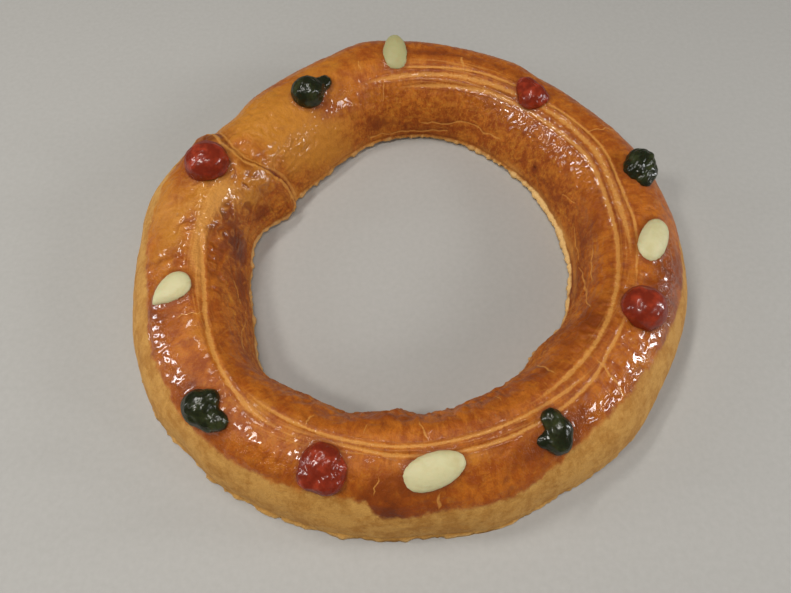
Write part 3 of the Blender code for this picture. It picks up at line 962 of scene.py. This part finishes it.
def cells_of(tools, place, scale, smoothness):
    """Round cells, dark in their middles."""
    return tools.node("TexVoronoi", {"feature": "SMOOTH_F1"},
                      {"Vector": place, "Scale": scale, "Smoothness": smoothness})


def raise_surface(shader, height, strength, distance):
    """Relief too fine for the mesh: a Bump node that feeds the shader's Normal."""
    bump = height.node("Bump", {}, {"Strength": strength, "Distance": distance * MM, "Height": height})
    link(bump, shader, "Normal")


print("shader tools ready")

# %% [markdown]
# ## The crust's material
#
# Colours are laid over each other as the oven lays them: pale dough, the glazed top, gold where it was
# dry, brown where it caught. Noise at several sizes keeps any of them from being flat. A tear's colour
# comes from its kept distance plus a little noise, which frays its edges. Painted light and shade lie
# among them too: dark beside the strands, in the seam's gap and groove, in folds and pits, and a
# lighter rim at the foot.

# %% Crust colours
PALE_DOUGH = (0.57, 0.300, 0.072, 1.0)
PALE_SHADE = (0.43, 0.195, 0.036, 1.0)
GLAZED = (0.320, 0.070, 0.0055, 1.0)
GLAZED_LIGHT = (0.520, 0.152, 0.0120, 1.0)
RUSSET = (0.265, 0.052, 0.0040, 1.0)
GOLD = (0.52, 0.203, 0.021, 1.0)
BROWN = (0.140, 0.026, 0.0030, 1.0)
UMBER = (0.205, 0.038, 0.0030, 1.0)
TEAR_PALE = (0.64, 0.290, 0.060, 1.0)
SYRUP = (0.20, 0.042, 0.007, 1.0)
# pale dough of the rim, painted lighter than the dough: painted light on the lip
RIM_PALE_AND_LIT = (0.78, 0.50, 0.19, 1.0)

crust, shader, tools = new_material("crust", Specular_IOR_Level=0.22, Coat_Roughness=0.07)
position = own_place(tools)
# marks in a metre, detail, roughness, distortion
mottle = noise_of(tools, position, 110.0, 5.0, 0.6, 0.5)
reddening = noise_of(tools, position, 55.0, 5.0, 0.7, 1.0)
spots = noise_of(tools, position, 250.0, 4.0, 0.65, 0.8)
grain = noise_of(tools, position, 420.0, 4.0, 0.6, 0.3)
speck = noise_of(tools, position, 1700.0, 2.0)
# size round the ring, size across the roll, detail, roughness, distortion
smear = dough_noise(tools, 2.4, 7.0, 4.0, 0.6, 0.4)
thread = dough_noise(tools, 22.0, 0.8, 3.0, 0.6)
streaks = dough_noise(tools, 2.6, 14.0, 4.0, 0.7, 0.5)
flecks = dough_noise(tools, 2.6, 3.6, 6.0, 0.75, 1.2)
runs = dough_noise(tools, 1.5, 12.0, 4.0, 0.65, 0.6)
breaks = dough_noise(tools, 1.3, 9.0, 3.0, 0.6)
dents = dough_noise(tools, 0.9, 1.4, 2.0, 0.6, 1.2)
print("noises in", len(crust.node_tree.nodes), "nodes")

# %% Dough, glazed top and browning
inner_side = read(tools, "inner_side")
golden = read(tools, "gold")
edge = read(tools, "edge") + grain.swinging(2.4) + smear.swinging(2.0)
glazed = edge.rising(-1.3, 1.5)
side_dough = mixed((streaks * 0.22 + mottle * 0.5 + grain * 0.28).rising(0.42, 0.60),
                   PALE_DOUGH, PALE_SHADE)
top = mixed((mottle * 0.55 + smear * 0.45).rising(0.40, 0.60), GLAZED, GLAZED_LIGHT)
top = mixed(reddening.rising(0.50, 0.68) * 0.8, top, RUSSET)
top = mixed((golden * 0.9 + mottle.swinging(0.7)).rising(0.05, 0.85), top, GOLD)

# dark marks fade where the crust is golden
dull = 1.0 - (golden * 1.2).clamped() * 0.85
# marks, their share all round, how much more of them on the hole's side, colour
MARK_LAYERS = (
    (flecks.rising(0.52, 0.64) * dull, 0.35, 0.40, UMBER),
    (flecks.falling(0.36, 0.48), 0.40, 0.45, GOLD),
    (spots.rising(0.54, 0.64) * dull, 0.0, 0.55, UMBER),
    (runs.rising(0.56, 0.68), 0.0, 0.55, GOLD),
    (spots.falling(0.36, 0.46), 0.0, 0.40, GOLD),
    (grain.rising(0.54, 0.64) * dull, 0.0, 0.35, UMBER),
    (grain.falling(0.37, 0.46), 0.0, 0.35, GOLD),
)
for drawn, share, inner_share, tint in MARK_LAYERS:
    top = mixed(drawn * (share + inner_side * inner_share), top, tint)

# browning and the painted shade from the mask, broken up by noise
browned_and_shaded = read(tools, "browning_and_shade") + smear.swinging(0.9) + mottle.swinging(0.9) + grain.swinging(0.25)
top = mixed(browned_and_shaded.rising(0.05, 0.55) * (0.35 + dull * 0.55), top, UMBER)
top = mixed(browned_and_shaded.rising(0.45, 1.05), top, BROWN)
print("crust colours laid")

# %% Strands, tears and seam
LIP_AT = 0.8
FAR_LIP_AT = -2.4
GAP_AT = -0.95


def tear_share(name, fray):
    """1 in a group's lines, 0 outside them, with frayed edges."""
    away = abs(read(tools, name)) + fray
    return away.falling(0.5, 1.35) * read(tools, name + "_open")


threaded_here = read(tools, "threaded")
fray = grain.swinging(1.8) + thread.swinging(1.6) + smear.swinging(1.4)
fray = fray + breaks.rising(0.54, 0.68) * threaded_here * 0.6
strand = tear_share(STRAND_NAMES[0], fray)
for name in STRAND_NAMES[1:]:
    strand = strand.node("Math", {"operation": "MAXIMUM"}, {0: strand, 1: tear_share(name, fray)})
split = tear_share("tear", grain.swinging(1.2))
threads = threaded_here * thread.rising(0.50, 0.64)

seam_here = read(tools, "seam_shown")
seam = read(tools, "seam") + grain.swinging(0.6)
lips = abs(seam - LIP_AT).falling(0.4, 0.9) + abs(seam - FAR_LIP_AT).falling(0.2, 0.7) * 0.8
lip_share = lips * seam_here * 0.8
# the gap in front of the seam's lip is painted dark, more on the hole's side: painted shade
seam_gap_shade = abs(seam - GAP_AT).falling(0.4, 0.85) * seam_here * (inner_side * 0.6 + 0.4)
pale = (strand * 0.9 + split * 0.75 + threads * 0.65 + lip_share + read(tools, "bare")).clamped()

shadows = threaded_here * thread.falling(0.34, 0.46) * 0.35
for name in STRAND_NAMES:
    away = abs(read(tools, name)) + fray * 0.6
    beside = away.rising(1.3, 1.8) * away.falling(2.1, 3.2)
    shadows = shadows + beside * read(tools, name + "_open") * 0.2
print("tears drawn")

# %% Lay the crust's colours over each other
colour = mixed(shadows.clamped(), top, BROWN)
colour = mixed(glazed, side_dough, colour)
# share and colour, in the order in which they are laid
CRUST_LAYERS = (
    (pale * (0.55 + grain * 0.6), TEAR_PALE),
    (read(tools, "foot") * smear.rising(0.25, 0.5), PALE_DOUGH),
    # the rim: its own pale dough, lightened as painted light
    (read(tools, "rim") * (0.6 + grain * 0.8), RIM_PALE_AND_LIT),
    # painted shade in the seam's gap
    (seam_gap_shade * 0.7, UMBER),
    (read(tools, "wet") * 0.6, SYRUP),
    ((speck - 0.40) * 0.6, BROWN),
)
for share, tint in CRUST_LAYERS:
    colour = mixed(share.clamped(), colour, tint)
link(colour, shader, "Base Color")
print(len(CRUST_LAYERS) + 2, "layers of colour")

# %% [markdown]
# ## The crust's shine
#
# Dry dough is rough. The film makes it smoother, and where it crinkled it is a true clear coat. The
# hole's side got little syrup, so its coat is thin. The coat follows the mesh only, while the Bump
# node bends the layer under it: together they give large and small specks of light.

# %% Crust shine and crinkles
DRY_ROUGHNESS = 0.70
FILM_SMOOTHS = 0.20
SPARKLE_SMOOTHS = 0.38
INNER_ROUGHENS = 0.18
GRAIN_ROUGHENS = 0.24
FILM_COAT = 0.06
GLINT_COAT = 0.22
SPARKLE_COAT = 1.1
INNER_DULLS = 0.85

sparkle = read(tools, "crinkle")
film = glazed * (1.0 - pale * 0.6)
inner_dry = inner_side * (1.0 - sparkle)
roughness = DRY_ROUGHNESS - film * FILM_SMOOTHS - sparkle * SPARKLE_SMOOTHS
roughness = roughness + inner_dry * INNER_ROUGHENS + grain.swinging(GRAIN_ROUGHENS)
link(roughness.clamped(), shader, "Roughness")
glint = smear.rising(0.56, 0.66) * film
shine = film * FILM_COAT + glint * GLINT_COAT + sparkle * SPARKLE_COAT
link((shine * (1.0 - inner_dry * INNER_DULLS)).clamped(), shader, "Coat Weight")

CRINKLE_BEND = 2.2
bent = tools.node("TexNoise", {}, {"Vector": position, "Scale": 330.0, "Detail": 2.0}, output=1)
place = tools.node("VectorMath", {"operation": "MULTIPLY_ADD"},
                   {0: bent, 1: (CRINKLE_BEND,) * 3, 2: marks(tools, 0.55, 0.8)})
crinkles = cells_of(tools, place, 1.0, 0.3) * 0.6 + dents * 1.1
height = crinkles * (sparkle * 0.10 + 0.20) + speck.swinging(0.08) + grain.swinging(0.36)
height = height + thread * threaded_here * 0.35 + smear * 0.15
raise_surface(shader, height, strength=1.0, distance=0.8)
skin.data.materials.append(crust)
print("crust nodes:", len(crust.node_tree.nodes))

# %% [markdown]
# ## Candied cherries
#
# The fruit is soaked with sugar: light goes a little way in, and its wet skin mirrors the room. A low
# roughness, a thin clear coat and a little scattering under the surface do this. Towards the outline
# the skin is rougher and the coat thinner, or the fruit would get a pale rim. Nothing can be seen
# through the fruit, so it needs no glass.

# %% Cherries
# deep colour and light colour
FRUITS = {
    "red_cherry": ((0.175, 0.019, 0.007, 1.0), (0.35, 0.042, 0.015, 1.0)),
    "green_cherry": ((0.012, 0.014, 0.005, 1.0), (0.036, 0.042, 0.013, 1.0)),
}
fruit_materials = {}
for kind, (deep, light) in FRUITS.items():
    fruit, shader, tools = new_material(kind, Subsurface_Weight=0.12, Subsurface_Scale=1.2 * MM,
                                        Specular_IOR_Level=0.30, Coat_Roughness=0.06)
    position = own_place(tools)
    mottle = noise_of(tools, position, 210.0, 3.0)
    fine = noise_of(tools, position, 900.0, 3.0)
    link(mixed(mottle.rising(0.42, 0.75), deep, light), shader, "Base Color")
    facing = tools.node("LayerWeight", {}, {"Blend": 0.35}, output=1).falling(0.35, 0.85)
    link(0.14 + fine * 0.14 + (1.0 - facing) * 0.45, shader, "Roughness")
    link(facing * 0.14, shader, "Coat Weight")
    ridges = cells_of(tools, position, 380.0, 0.6)
    raise_surface(shader, ridges * 0.25 + fine * 0.10, strength=0.6, distance=0.5)
    fruit_materials[kind] = fruit
print("fruit materials:", list(fruit_materials))

# %% [markdown]
# ## Blanched almonds
#
# Without its brown skin an almond is cream-coloured, dry and almost even, a little yellower where it
# has toasted. Its grain is too fine to model. One of the four, tipped up at the far edge, has a darker
# and a little more olive copy of the material: its darkness is painted shade.

# %% Almonds
# fresh colour and toasted colour
NUTS = {
    "almond": ((0.585, 0.540, 0.300, 1.0), (0.52, 0.455, 0.225, 1.0)),
    "shaded_almond": ((0.385, 0.360, 0.168, 1.0), (0.36, 0.315, 0.135, 1.0)),
}
# this almond gets the darker copy of the material: painted shade
SHADED_NUTS = {"almond_1"}
nut_materials = {}
for kind, (fresh, toasted) in NUTS.items():
    nut, shader, tools = new_material(kind, Subsurface_Weight=0.10, Subsurface_Scale=1.5 * MM,
                                      Specular_IOR_Level=0.4)
    position = own_place(tools)
    mottle = noise_of(tools, position, 160.0, 3.0)
    grain = noise_of(tools, position, 1200.0, 2.0)
    link(mixed(mottle.rising(0.4, 0.75), fresh, toasted), shader, "Base Color")
    link(0.46 + grain * 0.15, shader, "Roughness")
    raise_surface(shader, grain, strength=0.4, distance=0.2)
    nut_materials[kind] = nut
for node, piece in looks.items():
    nut = nut_materials["shaded_almond" if node in SHADED_NUTS else "almond"]
    piece.data.materials.clear()
    piece.data.materials.append(fruit_materials.get(node.rsplit("_", 1)[0], nut))
print("nut materials:", list(nut_materials))

# %% [markdown]
# ## Table, light and camera
#
# The wreath lies on a plain pale table. The camera stands close over its near side and looks down
# steeply, as a person at the table does. A key light from the near left shapes the roll. Two long
# lights overhead and three small or narrow ones at the sides draw the specks in the crinkled glaze. A
# large light in front only fills the shadows: it is hidden from reflections, or it would lay a veil
# over the whole near side.

# %% Table
HALF_TABLE = 3.0
TABLE_DARK = (0.37, 0.36, 0.335, 1.0)
TABLE_LIGHT = (0.43, 0.42, 0.395, 1.0)

corners = [(x * HALF_TABLE, y * HALF_TABLE, 0.0) for x, y in ((-1, -1), (1, -1), (1, 1), (-1, 1))]
table_mesh = bpy.data.meshes.new("table")
table_mesh.from_pydata(corners, [], [(0, 1, 2, 3)])
table = new_object("table", table_mesh)
table_material, shader, tools = new_material("table", Roughness=0.7)
weave = noise_of(tools, own_place(tools), 400.0)
link(mixed(weave, TABLE_DARK, TABLE_LIGHT), shader, "Base Color")
table_mesh.materials.append(table_material)
table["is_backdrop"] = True
print("table is", 2 * HALF_TABLE, "m wide")

# %% Lights
WARM = (1.0, 0.97, 0.93)
COOL = (0.97, 0.98, 1.0)
# name, place in m, aim above the table in m, size in m across and along, power in W, colour
LIGHTS = (
    ("key", (-0.55, -0.33, 0.86), 0.0, (0.15, 0.15), 3.2, (1.0, 0.97, 0.92)),
    ("back", (-0.36, 0.23, 0.90), 0.0, (0.42, 0.07), 2.9, WARM),
    ("ceiling", (0.02, -0.15, 1.00), 0.0, (0.42, 0.07), 2.3, WARM),
    ("right", (0.82, -0.36, 0.46), 0.0, (0.15, 0.15), 1.2, (0.98, 0.98, 1.0)),
    ("front", (0.32, -0.90, 0.55), 0.0, (0.50, 0.34), 1.6, WARM),
    ("left_strip", (-0.90, -0.05, 0.40), 0.02, (0.08, 0.40), 2.0, COOL),
    ("right_strip", (0.92, 0.02, 0.37), 0.02, (0.08, 0.40), 3.0, COOL),
)
NOT_REFLECTED = {"front"}
for name, place, aim_height, size, power, tint in LIGHTS:
    lamp = bpy.data.lights.new(name, "AREA")
    lamp.shape = "RECTANGLE"
    lamp.size, lamp.size_y = size
    lamp.energy = power
    lamp.color = tint
    holder = new_object(name, lamp)
    holder.location = place
    beam = Vector((0.0, 0.0, aim_height)) - Vector(place)
    holder.rotation_euler = beam.to_track_quat("-Z", "Y").to_euler()
    holder.visible_glossy = name not in NOT_REFLECTED

ROOM_TINT = (0.92, 0.95, 1.0, 1.0)
ROOM_GLOW = 0.075
world = bpy.data.worlds.new("room")
world.use_nodes = True
background = world.node_tree.nodes["Background"]
background.inputs["Color"].default_value = ROOM_TINT
background.inputs["Strength"].default_value = ROOM_GLOW
bpy.context.scene.world = world
bpy.context.scene.view_settings.view_transform = "Standard"
print(len(LIGHTS), "lights")

# %% Camera
CAMERA_FROM_HOLE = Vector((-6.9, -154.4, 255.0)) * MM
LOOKING_DOWN = 62.0
SENSOR_WIDTH = 36.0
LENS = 28.2
NEAREST_SEEN = 0.01

camera_data = bpy.data.cameras.new("camera")
camera_data.sensor_width = SENSOR_WIDTH
camera_data.lens = LENS
camera_data.clip_start = NEAREST_SEEN
camera = new_object("camera", camera_data)
camera.location = HOLE_MIDDLE + CAMERA_FROM_HOLE
camera.rotation_euler = (math.radians(90.0 - LOOKING_DOWN), 0.0, 0.0)
bpy.context.scene.camera = camera
print("camera at", [round(value / MM) for value in camera.location], "mm")

# %% Keep both boxes and finish
look_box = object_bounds()
for axis, letter in enumerate("xyz"):
    cad = cad_box[1][axis] - cad_box[0][axis]
    look = look_box[1][axis] - look_box[0][axis]
    print(letter, round(cad / MM, 1), "mm measured,", round(look / MM, 1), "mm dressed")
